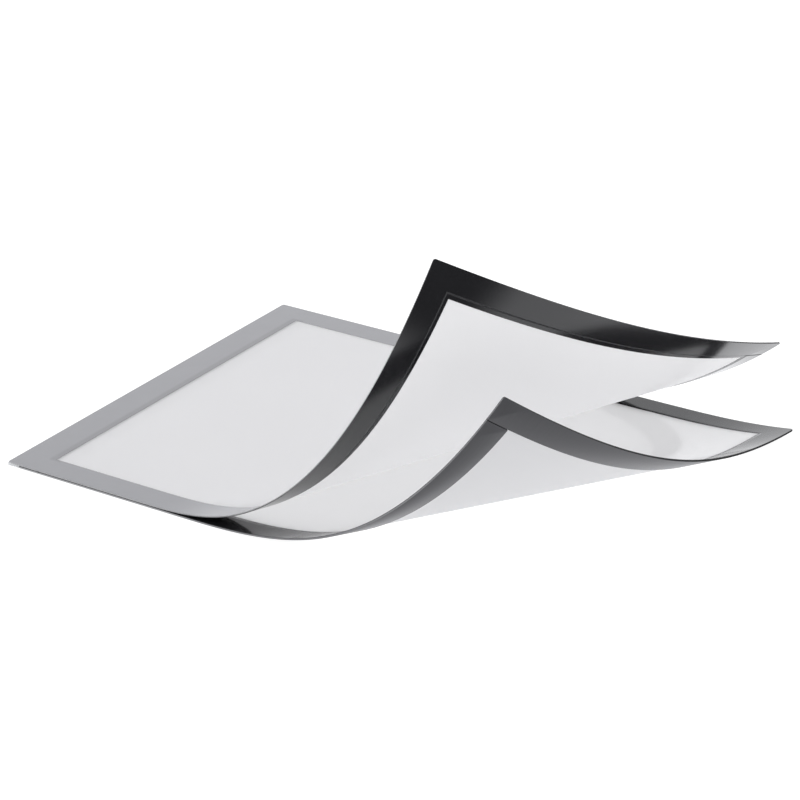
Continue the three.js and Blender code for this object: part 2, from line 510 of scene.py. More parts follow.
@dataclass(frozen=True)
class SilverFoil(Finish):
    """Silver-grey printed foil with a fine grain.

    Args:
        variation: How far the colour strays.
        blotch: Pattern of its faint blotches.
        grain: Pattern of its pearl grain.
        grain_share: Share of the grain in that variation.
        metallic: Share of metal.
        varnish: Weight of the clear varnish on top.
        varnish_roughness: Roughness of that varnish.
        edge: Where the window starts at the bound edge.
        sides: Where it starts and ends along that edge.
        edge_reach: Distances from there between which the painted shade of its dip fades.
        edge_painted_shade: Share by which that painted shade darkens the foil, where it slopes down and
            faces away from the light.
        edge_end: Length over which it ends past the window's corners.
    """

    slot: Slot = Slot.SILVER
    colour: Colour = (0.262, 0.262, 0.276, 1)
    roughness: Pair = (0.42, 0.12)
    variation: float = 0.026
    blotch: Grain = Grain(60.0, 3.0)
    grain: Grain = Grain(2600.0, height=0.012 * MM)
    grain_share: float = 0.4
    metallic: float = 0.35
    varnish: float = 1.0
    varnish_roughness: float = 0.25
    edge: float = 0.0
    sides: Pair = (0.0, 1.0)
    edge_reach: Pair = (2.2 * MM, 4.8 * MM)
    edge_painted_shade: float = 0.2
    edge_end: float = 3.0 * MM

    def surface(self, graph: SheetGraph) -> Wire:
        """Grey with faint blotches and a fine pearl grain, with painted shade where it dips towards the
        window.

        Args:
            graph: The material's graph.

        Returns:
            The shader.
        """
        blotch, grain = graph.noise(self.blotch), graph.noise(self.grain)
        low, high = (toned(self.colour, 1, shift) for shift in (-self.variation, self.variation))
        colour = graph.mix(blotch * (1 - self.grain_share) + grain * self.grain_share, low, high)
        x, y, _ = graph.split(graph.place)
        start, end = self.sides
        # Painted shade: the foil darkens along the window's bound edge, where it slopes down off the strip
        # and faces away from the light.
        dip = y.ramp(start - self.edge_end, start) * (1 - y.ramp(end, end + self.edge_end))
        dip = dip * (1 - (x - self.edge).absolute().ramp(*self.edge_reach))
        values = {
            "Base Color": graph.mix(dip * self.edge_painted_shade, colour, (0, 0, 0, 1)),
            "Roughness": varied(self.roughness, grain),
            "Metallic": self.metallic,
            "Coat Weight": self.varnish,
            "Coat Roughness": self.varnish_roughness,
            "Normal": graph.bump(grain, self.grain.height),
        }
        return graph.shader("Principled", values)


@dataclass(frozen=True)
class FrostedFilm(Finish):
    """Frosted anti-glare film that lets light through.

    Args:
        tone: Factor on the colour where the waves are darkest.
        waves: Pattern of the faint waves.
        frost: Pattern of the frost.
        see_through: Share of light that it scatters through.
        sheen: Weight of the gloss that shows at low angles.
        sheen_roughness: Its roughness.
        edge: Where the window starts at the bound edge.
        shade: Colour of the painted shade there, where the film comes down off the strip.
        edge_reach: Lengths over which the strong and the weak part of that painted shade fade.
        edge_painted_shade: Shares of the strong and the weak part of the painted shade.
    """

    slot: Slot = Slot.FROSTED
    colour: Colour = (0.928, 0.926, 0.928, 1)
    roughness: Pair = (0.5, 0.1)
    tone: float = 0.965
    waves: Grain = Grain(14.0)
    frost: Grain = Grain(5200.0, 1.0, height=0.006 * MM)
    see_through: float = 0.68
    sheen: float = 0.35
    sheen_roughness: float = 0.15
    edge: float = 0.0
    shade: Colour = (0.2, 0.2, 0.21, 1)
    edge_reach: Pair = (3.0 * MM, 14.0 * MM)
    edge_painted_shade: Pair = (0.38, 0.1)

    def surface(self, graph: SheetGraph) -> Wire:
        """Pale film with a very fine frost, faint waves and a soft painted shade at the bound edge.

        Args:
            graph: The material's graph.

        Returns:
            The shader.
        """
        # Painted shade along the window's bound edge, which also lets less light through there.
        past = (graph.split(graph.place)[0] - self.edge).absolute()
        parts = zip(self.edge_painted_shade, self.edge_reach)
        strong, weak = (share * (1 - past.ramp(0, reach)) for share, reach in parts)
        dip = strong + weak
        frost, waves = graph.noise(self.frost), graph.noise(self.waves)
        colour = graph.mix(waves, toned(self.colour, self.tone), self.colour)
        values = {
            "Base Color": graph.mix(dip, colour, self.shade),
            "Roughness": varied(self.roughness, frost),
            "Normal": graph.bump(frost, self.frost.height),
            "Coat Weight": self.sheen,
            "Coat Roughness": self.sheen_roughness,
        }
        return graph.film((1 - dip) * self.see_through, values, self.colour)


@dataclass(frozen=True)
class ClearFilm(Finish):
    """Glossy film of the back sheet: milky in its window, black where it is bonded to the magnet strips.

    Args:
        colour: Colour in the window.
        roughness: Roughness in the window and over the strips.
        tone: Factor on the colour where the waves are darkest.
        waves: Pattern of the faint waves.
        black: Colour over the strips.
        specular: Strength of the gloss.
        clear_coat: Weight of the gloss that its second face adds over the strips.
        see_through: Share of light that the window scatters through.
        shine: Strength of the window's mirror gloss on its upper side.
        shine_roughness: Roughness of that gloss.
        ripple: Pattern of the ripple in its surface.
        window: Its window.
        start: Where the black starts at the bound edge.
        dip_width: Width of the dip where the film comes down off a strip.
        dip: Depth of that dip.
        far_reach: Width of the soft painted shade in the window beside the far strip.
        far_painted_shade: Strength of that painted shade.
    """

    slot: Slot = Slot.CLEAR
    colour: Colour = (0.88, 0.88, 0.885, 1)
    roughness: Pair = (0.05, 0.1)
    tone: float = 0.95
    waves: Grain = Grain(11.0)
    black: Colour = (0.02, 0.02, 0.022, 1)
    specular: float = 0.4
    clear_coat: float = 0.25
    see_through: float = 0.8
    shine: float = 0.85
    shine_roughness: float = 0.12
    ripple: Grain = Grain(90.0, stretch=(0.4, 1, 1), height=0.02 * MM)
    window: Box = (0, 1, 0, 1)
    start: float = 0.0
    dip_width: float = 1.8 * MM
    dip: float = 0.32 * MM
    far_reach: float = 5.0 * MM
    far_painted_shade: float = 0.2

    def surface(self, graph: SheetGraph) -> Wire:
        """Milky film with a glossy black border that dips beside the window; painted shade by the far
        strip.

        Args:
            graph: The material's graph.

        Returns:
            The shader.
        """
        x, y, _ = graph.split(graph.place)
        low_x, high_x, low_y, high_y = self.window
        inner = (x - low_x).smaller(high_x - x).smaller(y - low_y).smaller(high_y - y)
        dip = inner.ramp(-self.dip_width, 0) * self.dip
        inside = (x > low_x) * (x < high_x) * (y > low_y) * (y < high_y)
        border = (1 - inside) * (x > self.start)
        # Painted shade: the window darkens beside the far strip and lets less light through there.
        shade = (1 - (high_y - y).ramp(0, self.far_reach)) * inside * self.far_painted_shade
        milky = graph.mix(graph.noise(self.waves), toned(self.colour, self.tone), self.colour)
        normal = graph.bump(graph.noise(self.ripple) * self.ripple.height - dip)
        clear, gloss = self.roughness
        values = {
            "Base Color": graph.mix(border + shade, milky, self.black),
            "Roughness": border * (gloss - clear) + clear,
            "Normal": normal,
            "Specular IOR Level": self.specular,
            "Coat Weight": border * self.clear_coat,
            "Coat Roughness": gloss,
        }
        body = graph.film((1 - border) * (1 - shade) * self.see_through, values, self.colour)
        mirror = graph.shader("Glossy", {"Roughness": self.shine_roughness, "Normal": normal})
        return graph.blend(graph.mirrored() * (1 - border) * graph.upper() * self.shine, body, mirror)


@dataclass(frozen=True)
class GlossBlack(Finish):
    """Glossy black film over the cover's strips.

    Args:
        dust: Pattern of the dust on it.
        dust_level: Values of that pattern between which dust shows.
        dust_tone: Factor on the colour where it does.
        specular: Strength of the gloss of both its faces.
        dish: Curvature across a strip, in 1/m, as a strip that bends along its length dishes across.
        crest: Distance from the sheet's edge to the top of that dish.
        lean: Slope by which the middle of the free strip leans.
        lean_rise: Values of y between which it starts to lean.
        lean_fall: Values of y between which it straightens again.
        ripple: Pattern of the ripple.
        slope: Distances from the sheet's edge between which it slopes off the strip.
        slope_roughness: Roughness there, where the film is stretched.
    """

    slot: Slot = Slot.BLACK
    colour: Colour = (0.009, 0.009, 0.0105, 1)
    roughness: Pair = (0.15, 0.06)
    dust: Grain = Grain(900.0, 3.0)
    dust_level: Pair = (0.5, 0.8)
    dust_tone: float = 1.6
    specular: float = 1.0
    dish: float = 7.0
    crest: float = 5.0 * MM
    lean: float = -0.085
    lean_rise: Pair = (20 * MM, 90 * MM)
    lean_fall: Pair = (100 * MM, 160 * MM)
    ripple: Grain = Grain(80.0, stretch=(0.5, 1, 1), height=0.004 * MM)
    slope: Pair = (12.3 * MM, 13.3 * MM)
    slope_roughness: float = 0.8

    def surface(self, graph: SheetGraph) -> Wire:
        """Black with the soft ripple of a film that was rolled on.

        Args:
            graph: The material's graph.

        Returns:
            The shader.
        """
        x, y, _ = graph.split(graph.place)
        to_free = SHEET.length - x
        inner = to_free.smaller(y)
        stretched = (inner > self.slope[0]) * (inner < self.slope[1])
        across = inner.smaller(SHEET.width - y).smaller(x - SHEET.strip_start) - self.crest
        dish = across * across * (self.dish / 2)
        leaning = y.ramp(*self.lean_rise) * (1 - y.ramp(*self.lean_fall))
        lean = (to_free - self.crest) * leaning * self.lean
        ripple, dust = graph.noise(self.ripple), graph.noise(self.dust)
        dusty = toned(self.colour, self.dust_tone)
        rougher = stretched * (self.slope_roughness - self.roughness[0])
        values = {
            "Base Color": graph.mix(dust.ramp(*self.dust_level), self.colour, dusty),
            "Roughness": varied(self.roughness, dust) + rougher,
            "Specular IOR Level": self.specular,
            "Normal": graph.bump(dish + lean + ripple * self.ripple.height),
        }
        return graph.shader("Principled", values)


@dataclass(frozen=True)
class MagnetSheet(Finish):
    """Bare magnet sheet, matt and dark grey, with the fine drag lines of its rollers.

    Args:
        tones: Factors on the colour where the patterns are darkest and palest.
        drag: Pattern of the drag lines.
        grain: Pattern of the powdery grain.
        grain_strength: Strength of its bumps.
        cut_free: Colour of the cut edge along the free edge.
        cut_roughness: Roughness that is added there.
        near_cut_painted_light: Pale colour painted on the cut edge along the near edge, as light on that
            edge.
        cut_fade: Values of x between which that painted light fades.
        cut_loss: Share that it loses.
        cut_reach: How far a cut edge reaches in.
    """

    slot: Slot = Slot.MAGNET
    colour: Colour = (0.055, 0.055, 0.06, 1)
    roughness: Pair = (0.4, 0.2)
    tones: Pair = (0.82, 1.18)
    drag: Grain = Grain(40.0, 3.0, (1, 24, 1))
    grain: Grain = Grain(1500.0, 3.0, height=0.02 * MM)
    grain_strength: float = 0.7
    cut_free: Colour = (0.01, 0.01, 0.011, 1)
    cut_roughness: float = 0.5
    near_cut_painted_light: Colour = (0.34, 0.34, 0.35, 1)
    cut_fade: Pair = (80 * MM, 150 * MM)
    cut_loss: float = 0.55
    cut_reach: float = 0.04 * MM

    def surface(self, graph: SheetGraph) -> Wire:
        """Dark grey with drag lines and powdery grain, darker at the free cut edge, painted light on the
        near one.

        Args:
            graph: The material's graph.

        Returns:
            The shader.
        """
        x, y, _ = graph.split(graph.place)
        drag, grain = graph.noise(self.drag), graph.noise(self.grain)
        low, high = (toned(self.colour, tone) for tone in self.tones)
        at_free = x > SHEET.length - self.cut_reach
        # Painted light: the near cut edge is painted paler, fading further along x.
        near_cut_light_mask = (y < self.cut_reach) * (1 - x.ramp(*self.cut_fade) * self.cut_loss)
        colour = graph.mix(at_free, graph.mix((drag + grain) * 0.5, low, high), self.cut_free)
        values = {
            "Base Color": graph.mix(near_cut_light_mask, colour, self.near_cut_painted_light),
            "Roughness": varied(self.roughness, grain) + at_free * self.cut_roughness,
            "Normal": graph.bump(grain, self.grain.height, self.grain_strength),
        }
        return graph.shader("Principled", values)


@dataclass(frozen=True)
class ClearStrip(Finish):
    """Clear, slightly milky strip along the bound edge.

    Args:
        tone: Factor on the colour where the lines are darkest.
        lines: Pattern of the faint lines along its length.
        see_through: Share of light that it scatters through.
    """

    slot: Slot = Slot.STRIP
    colour: Colour = (0.85, 0.86, 0.87, 1)
    roughness: Pair = (0.25, 0.1)
    tone: float = 0.94
    lines: Grain = Grain(50.0, stretch=(20, 1, 1))
    see_through: float = 0.45

    def surface(self, graph: SheetGraph) -> Wire:
        """A milky strip with faint lines along its length.

        Args:
            graph: The material's graph.

        Returns:
            The shader.
        """
        lines = graph.noise(self.lines)
        colour = graph.mix(lines, toned(self.colour, self.tone), self.colour)
        values = {"Base Color": colour, "Roughness": varied(self.roughness, lines)}
        return graph.film(self.see_through, values, self.colour)


def extrude(solid: bmesh.types.BMesh, move: Vector) -> None:
    """Grows a flat outline into a closed solid.

    Args:
        solid: The outline's faces, which become the solid.
        move: From the outline to the other end.
    """
    grown = bmesh.ops.extrude_face_region(solid, geom=list(solid.faces), use_keep_orig=True)
    raised = [item for item in grown["geom"] if isinstance(item, bmesh.types.BMVert)]
    bmesh.ops.translate(solid, verts=raised, vec=move)
    bmesh.ops.recalc_face_normals(solid, faces=solid.faces)


def round_off(solid: bmesh.types.BMesh, edges: list[bmesh.types.BMEdge], radius: float, steps: int) -> None:
    """Rounds some edges of a solid; a profile of 0.5 is a circle's."""
    bmesh.ops.bevel(solid, geom=edges, offset=radius, segments=steps, profile=0.5, affect="EDGES")


def add_maps(solid: bmesh.types.BMesh) -> None:
    """Adds the UV maps while the solid is flat.

    Args:
        solid: The solid.
    """
    places, sides = (solid.loops.layers.uv.new(name) for name in (FLAT_UV, SIDE_UV))
    for face in solid.faces:
        for loop in face.loops:
            loop[places].uv = loop.vert.co.xy
            loop[sides].uv = (face.normal.z > LEVEL, 0)


def to_mesh(solid: bmesh.types.BMesh, name: str) -> bpy.types.Mesh:
    """Makes a mesh of a solid, which it frees.

    Args:
        solid: The solid.
        name: The mesh's name.

    Returns:
        The mesh.
    """
    mesh = bpy.data.meshes.new(name)
    solid.to_mesh(mesh)
    solid.free()
    return mesh


def add_object(name: str, data: bpy.types.ID) -> bpy.types.Object:
    """Makes an object in the scene.

    Args:
        name: Its name.
        data: Its mesh, camera or light.

    Returns:
        The object.
    """
    made = bpy.data.objects.new(name, data)
    bpy.context.scene.collection.objects.link(made)
    return made


@dataclass
class Plate:
    """A flat piece that is cut from a sheet.

    Args:
        xs: Grid lines across its length.
        ys: Grid lines across its width.
        layer: Its layer.
        window: The part that is cut out.
        lift: Height that is added at a point, from its x and y.
        rim: Width of the bevel along its edges.
        rim_steps: Rows of faces in that bevel.
        cut_turn: Bending between two cuts, in degrees.
        sharp_angle: Angle past which an edge stays sharp, in degrees.
    """

    xs: Sequence[float]
    ys: Sequence[float]
    layer: Layer
    window: Box = (0, 0, 0, 0)
    lift: Callable[[float, float], float] | None = None
    rim: float = 0.0
    rim_steps: int = 2
    cut_turn: float = 0.8
    sharp_angle: float = 35.0

    def cells(self) -> list[list[Vector]]:
        """Outlines of the grid's cells.

        Returns:
            One convex outline for each cell, anticlockwise.
        """
        found = []
        for x0, x1 in zip(self.xs, self.xs[1:]):
            for y0, y1 in zip(self.ys, self.ys[1:]):
                if not self._is_cut_out((x0 + x1) / 2, (y0 + y1) / 2):
                    found.append(self._cell((x0, x1, y0, y1)))
        return found

    def _is_cut_out(self, x: float, y: float) -> bool:
        """Whether a point lies in the window."""
        x0, x1, y0, y1 = self.window
        return x0 < x < x1 and y0 < y < y1

    def _cell(self, cell: Box) -> list[Vector]:
        """Finds one cell's outline, rounded where its corner is the sheet's own.

        Args:
            cell: The cell.

        Returns:
            The outline.
        """
        x0, x1, y0, y1 = cell
        points = []
        for index, (x, y) in enumerate(((x0, y0), (x1, y0), (x1, y1), (x0, y1))):
            if x not in (0, SHEET.length) or y not in (0, SHEET.width):
                points.append(Vector((x, y, 0)))
                continue
            radius = SHEET.corner_radius
            middle_x = radius if x == 0 else SHEET.length - radius
            middle_y = radius if y == 0 else SHEET.width - radius
            centre = Vector((middle_x, middle_y, 0))
            for step in range(SHEET.corner_steps + 1):
                angle = math.pi / 2 * (index + 2 + step / SHEET.corner_steps)
                points.append(centre + Vector((math.cos(angle), math.sin(angle), 0)) * radius)
        return points

    def build(self, curl: Curl) -> bpy.types.Mesh:
        """Makes the flat, closed mesh, cut along the lines of its curl.

        Args:
            curl: The curl it will take.

        Returns:
            The mesh, with its UV maps.
        """
        solid = bmesh.new()
        height = Vector((0, 0, self.layer.bottom))
        for outline in self.cells():
            solid.faces.new([solid.verts.new(point + height) for point in outline])
        bmesh.ops.remove_doubles(solid, verts=solid.verts, dist=WELD)
        extrude(solid, Vector((0, 0, self.layer.thickness)))
        if self.rim:
            round_off(solid, self._rims(solid), self.rim, self.rim_steps)
        for angle in curl.cuts(self.cut_turn):
            side = curl.across * math.cos(angle) - curl.along * math.sin(angle)
            items = [*solid.verts, *solid.edges, *solid.faces]
            bmesh.ops.bisect_plane(solid, geom=items, plane_co=curl.apex, plane_no=side, dist=CUT_REACH)
        solid.normal_update()
        add_maps(solid)
        if self.lift:
            for vert in solid.verts:
                vert.co.z += self.lift(vert.co.x, vert.co.y)
            solid.normal_update()
        for face in solid.faces:
            face.smooth = True
        sharp = math.radians(self.sharp_angle)
        for edge in solid.edges:
            edge.smooth = len(edge.link_faces) == 2 and edge.calc_face_angle(0.0) < sharp
        return to_mesh(solid, "flat")

    @staticmethod
    def _rims(solid: bmesh.types.BMesh) -> list[bmesh.types.BMEdge]:
        """Finds the edges between a level face and an upright one.

        Args:
            solid: The flat solid.

        Returns:
            The edges.
        """
        rims = []
        for edge in solid.edges:
            levels = sorted(abs(face.normal.z) > LEVEL for face in edge.link_faces)
            if levels == [False, True]:
                rims.append(edge)
        return rims


class CurlTree:
    """The Geometry Nodes tree that curls a flat piece."""

    def __init__(self) -> None:
        """Builds the tree."""
        self.tree = bpy.data.node_groups.new("curl_about_fanned_lines", "GeometryNodeTree")
        self.names: dict[str, str] = {}
        self._add_inputs()
        self._fill(Graph(self.tree))

    def _add_inputs(self) -> None:
        face = self.tree.interface
        face.new_socket("Geometry", in_out="OUTPUT", socket_type="NodeSocketGeometry")
        for name, kind in (
            ("Geometry", "NodeSocketGeometry"),
            ("Guide", "NodeSocketObject"),
            ("Apex", "NodeSocketVector"),
            ("Along", "NodeSocketVector"),
            ("Across", "NodeSocketVector"),
            ("Guide Angle", "NodeSocketFloat"),
            ("Sheet Middle", "NodeSocketFloat"),
            ("Origin Shift", "NodeSocketVector"),
            ("Material", "NodeSocketMaterial"),
        ):
            socket = face.new_socket(name, in_out="INPUT", socket_type=kind)
            self.names[name] = socket.identifier

    def _fill(self, graph: Graph) -> None:
        """Adds the nodes.

        Args:
            graph: The tree's graph.
        """
        source = graph.node("NodeGroupInput", {}, {}).socket.node
        given = {socket.name: Wire(graph, socket) for socket in source.outputs if socket.name}
        x, y, z = graph.split(graph.node("GeometryNodeInputPosition", {}, {}))
        flat = graph.node("ShaderNodeCombineXYZ", {}, {"X": x, "Y": y})
        offset = graph.vector("SUBTRACT", flat, given["Apex"])
        length = graph.vector("LENGTH", offset, output="Value")
        run, rise = graph.dot(offset, given["Along"]), graph.dot(offset, given["Across"])
        angle = graph.node("ShaderNodeMath", {"operation": "ARCTAN2"}, {0: rise, 1: run})
        guide = graph.node("GeometryNodeObjectInfo", {}, {"Object": given["Guide"]}, "Geometry")
        settings = {"data_type": "FLOAT_VECTOR"}
        normal = graph.node("GeometryNodeInputNamedAttribute", settings, {"Name": NORMAL_ATTRIBUTE})
        curve = graph.node("GeometryNodeMeshToCurve", {}, {"Mesh": guide})
        values = {"Curves": curve, "Value": normal, "Factor": angle / given["Guide Angle"]}
        sample = graph.node("GeometryNodeSampleCurve", {"mode": "FACTOR", **settings}, values)
        heading = Wire(graph, sample.socket.node.outputs["Position"])
        facing = graph.vector("NORMALIZE", Wire(graph, sample.socket.node.outputs["Value"]))
        height = z - given["Sheet Middle"]
        ray = graph.vector("ADD", given["Apex"], graph.scaled(heading, length))
        curled = graph.vector("ADD", ray, graph.scaled(facing, height))
        level = graph.node("ShaderNodeCombineXYZ", {}, {"X": x, "Y": y, "Z": height})
        values = {"Switch": angle > 0.0, "False": level, "True": curled}
        chosen = graph.node("GeometryNodeSwitch", {"input_type": "VECTOR"}, values)
        lifted = graph.node("ShaderNodeCombineXYZ", {}, {"Z": given["Sheet Middle"]})
        final = graph.vector("ADD", graph.vector("ADD", chosen, lifted), given["Origin Shift"])
        values = {"Geometry": given["Geometry"], "Position": final}
        moved = graph.node("GeometryNodeSetPosition", {}, values)
        real = graph.node("GeometryNodeRealizeInstances", {}, {"Geometry": moved})
        values = {"Geometry": real, "Material": given["Material"]}
        dressed = graph.node("GeometryNodeSetMaterial", {}, values)
        graph.node("NodeGroupOutput", {}, {"Geometry": dressed})


@dataclass
class Bender:
    """Curls flat pieces of one sheet and gives them to its body.

    Args:
        curl: The sheet's curl.
        middle: Height of the sheet's middle.
        body: The body that its pieces ride on.
        tree: The curling tree.
        origin: Flat place of the part's origin.
        finishes: The materials by slot.
    """

    curl: Curl
    middle: float
    body: Body
    tree: CurlTree
    origin: Vector
    finishes: dict[Slot, bpy.types.Material]
    guide: bpy.types.Object = field(init=False)
    guide_angle: float = field(init=False)

    def __post_init__(self) -> None:
        """Draws the guide that the tree samples."""
        lines = self.curl.lines()
        name = f"{self.body.value}_guide"
        mesh = bpy.data.meshes.new(name)
        edges = [(index, index + 1) for index in range(len(lines) - 1)]
        mesh.from_pydata([line.direction for line in lines], edges, [])
        normals = mesh.attributes.new(NORMAL_ATTRIBUTE, "FLOAT_VECTOR", "POINT")
        normals.data.foreach_set("vector", [value for line in lines for value in line.normal])
        self.guide = add_object(name, mesh)
        self.guide_angle = lines[-1].angle

    def add(self, node: str, plate: Plate, slot: Slot) -> None:
        """Makes one curled piece.

        Args:
            node: The solid that it stands for.
            plate: Its flat shape.
            slot: The material slot it takes its finish from.
        """
        name = f"{node}_skin"
        flat = add_object(name, plate.build(self.curl))
        modifier = flat.modifiers.new("curl", "NODES")
        modifier.node_group = self.tree.tree
        for socket, value in (
            ("Guide", self.guide),
            ("Apex", self.curl.apex),
            ("Along", self.curl.along),
            ("Across", self.curl.across),
            ("Guide Angle", self.guide_angle),
            ("Sheet Middle", self.middle),
            ("Origin Shift", -self.origin),
            ("Material", self.finishes[slot]),
        ):
            modifier[self.tree.names[socket]] = value
        bpy.context.view_layer.update()
        graph = bpy.context.evaluated_depsgraph_get()
        curled = bpy.data.meshes.new_from_object(flat.evaluated_get(graph))
        flat.modifiers.clear()
        flat.data = curled
        curled.name = name
        finish_piece(flat, self.body, [node])

    def clear(self) -> None:
        """Removes the guide once all pieces are made."""
        bpy.data.objects.remove(self.guide)


def finish_piece(piece: bpy.types.Object, body: Body, nodes: Sequence[str]) -> None:
    """Gives a finished piece to its body and reports it.

    Args:
        piece: The piece.
        body: The body it rides on.
        nodes: The solids that it stands for.
    """
    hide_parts(*nodes)
    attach(piece, body.value)
    LOG.info("%s: %d faces on %s", piece.name, len(piece.data.polygons), body.value)


@dataclass
class Strips:
    """Widths of the four magnet strips of a sheet.

    Args:
        bound: Width of the one along the bound edge.
        long: Width of the two long ones.
        free: Width of the one along the free edge.
        layer: Their layer.
        rim: Bevel along their edges.
    """

    bound: float
    long: float
    free: float
    layer: Layer
    rim: float = 0.08 * MM

    def pieces(self, sheet: str) -> list[tuple[str, Plate, Slot]]:
        """The strips of a sheet.

        Args:
            sheet: The sheet's name.

        Returns:
            Solid, flat shape and slot of each strip.
        """
        start, gap, wide = SHEET.strip_start, SHEET.butt_gap, SHEET.width
        inner = start + self.bound + gap
        outer = SHEET.length - self.free - gap
        spans = {
            "bound": ((start, start + self.bound), (0, wide)),
            "free": ((SHEET.length - self.free, SHEET.length), (0, wide)),
            "near": ((inner, outer), (0, self.long)),
            "far": ((inner, outer), (wide - self.long, wide)),
        }
        return [
            (f"{sheet}_magnet_{side}", Plate(xs, ys, self.layer, rim=self.rim), Slot.MAGNET)
            for side, (xs, ys) in spans.items()
        ]


@dataclass
class Cover:
    """The front sheet: silver border, frosted window, magnet strips and their black backing.

    Args:
        border_bound: Width of the silver border along the bound edge.
        border_long: Width along the long edges.
        border_free: Width along the free edge.
        strip_width: Width of the magnet strips.
        step_width: Width of the slope where the backing comes off the near and the free strip.
        step_far_width: Width of that slope beside the far strip.
        step_round: Share of that width over which it rounds off at its top and at its foot.
        step_rows: Rows of faces in each of the two rounded parts.
        step_guard: Width of the row on either side of it, which keeps the shading beside it flat.
    """

    border_bound: float = 19.8 * MM
    border_long: float = 14.9 * MM
    border_free: float = 15.4 * MM
    strip_width: float = 12.4 * MM
    step_width: float = 0.8 * MM
    step_far_width: float = 2.2 * MM
    step_round: float = 0.3
    step_rows: int = 3
    step_guard: float = 0.15 * MM

    def build(self, bender: Bender) -> None:
        """Makes the pieces.

        Args:
            bender: Curls them.
        """
        film = Plate((0, SHEET.length), (0, SHEET.width), COVER_FILM)
        bound = self.border_bound - SHEET.strip_start
        strips = Strips(bound, self.strip_width, self.strip_width, COVER_MAGNET)
        for node, plate, slot in (
            ("cover_border_foil", self._foil(), Slot.SILVER),
            ("cover_window_film", film, Slot.FROSTED),
            ("cover_backing_film", self._backing(), Slot.BLACK),
            *strips.pieces("cover"),
        ):
            bender.add(node, plate, slot)

    @property
    def window(self) -> Box:
        """The part of the sheet that its window takes up."""
        far_x, far_y = SHEET.length - self.border_free, SHEET.width - self.border_long
        return (self.border_bound, far_x, self.border_long, far_y)

    def _foil(self) -> Plate:
        """Flat shape of the silver border."""
        x0, x1, y0, y1 = self.window
        return Plate((0, x0, x1, SHEET.length), (0, y0, y1, SHEET.width), FOIL, window=self.window)

    def _backing(self) -> Plate:
        """Flat shape of the black backing, which comes up onto the window film past the strips.

        Returns:
            The plate.
        """
        x0, x1, y0, y1 = self.window
        beside = self._step_lines(self.step_width)
        near = [self.strip_width + rise for rise in beside]
        far = [self.strip_width + rise for rise in self._step_lines(self.step_far_width)]
        xs = [SHEET.strip_start, *(x0 + rise for rise in beside[1:]), x1]
        xs += [SHEET.length - place for place in reversed(near)] + [SHEET.length]
        ys = [0, *near, y0, y1, *(SHEET.width - place for place in reversed(far)), SHEET.width]
        return Plate(xs, ys, BACKING, window=self.window, lift=self._lift)

    def _lift(self, x: float, y: float) -> float:
        """Height of the backing over its place on the strips.

        Args:
            x: Flat x.
            y: Flat y.

        Returns:
            The height.
        """
        free_or_near = min(SHEET.length - x, y) - self.strip_width
        share = self._step_share(free_or_near / self.step_width)
        share *= self._step_share((SHEET.width - y - self.strip_width) / self.step_far_width)
        share *= self._step_share((x - self.border_bound) / self.step_width)
        return (COVER_FILM.bottom - BOND_LINE - BACKING.top) * share

    def _step_lines(self, width: float) -> list[float]:
        """Grid lines beside a strip's edge that follow the slope.

        Args:
            width: Width of the slope.

        Returns:
            Their distances past the strip's edge.
        """
        rounded = [self.step_round * index / self.step_rows for index in range(self.step_rows + 1)]
        shares = (*rounded, *(1 - share for share in reversed(rounded)))
        return [-self.step_guard, *(width * share for share in shares), width + self.step_guard]

    def _step_share(self, part: float) -> float:
        """Works out how much of the slope's height is climbed.

        Args:
            part: Share of the slope's width that lies behind.

        Returns:
            The share of its height.
        """
        part, bend = min(max(part, 0.0), 1.0), self.step_round
        if part < bend:
            return part * part / (2 * bend * (1 - bend))
        if part > 1 - bend:
            return 1 - (1 - part) ** 2 / (2 * bend * (1 - bend))
        return (part - bend / 2) / (1 - bend)


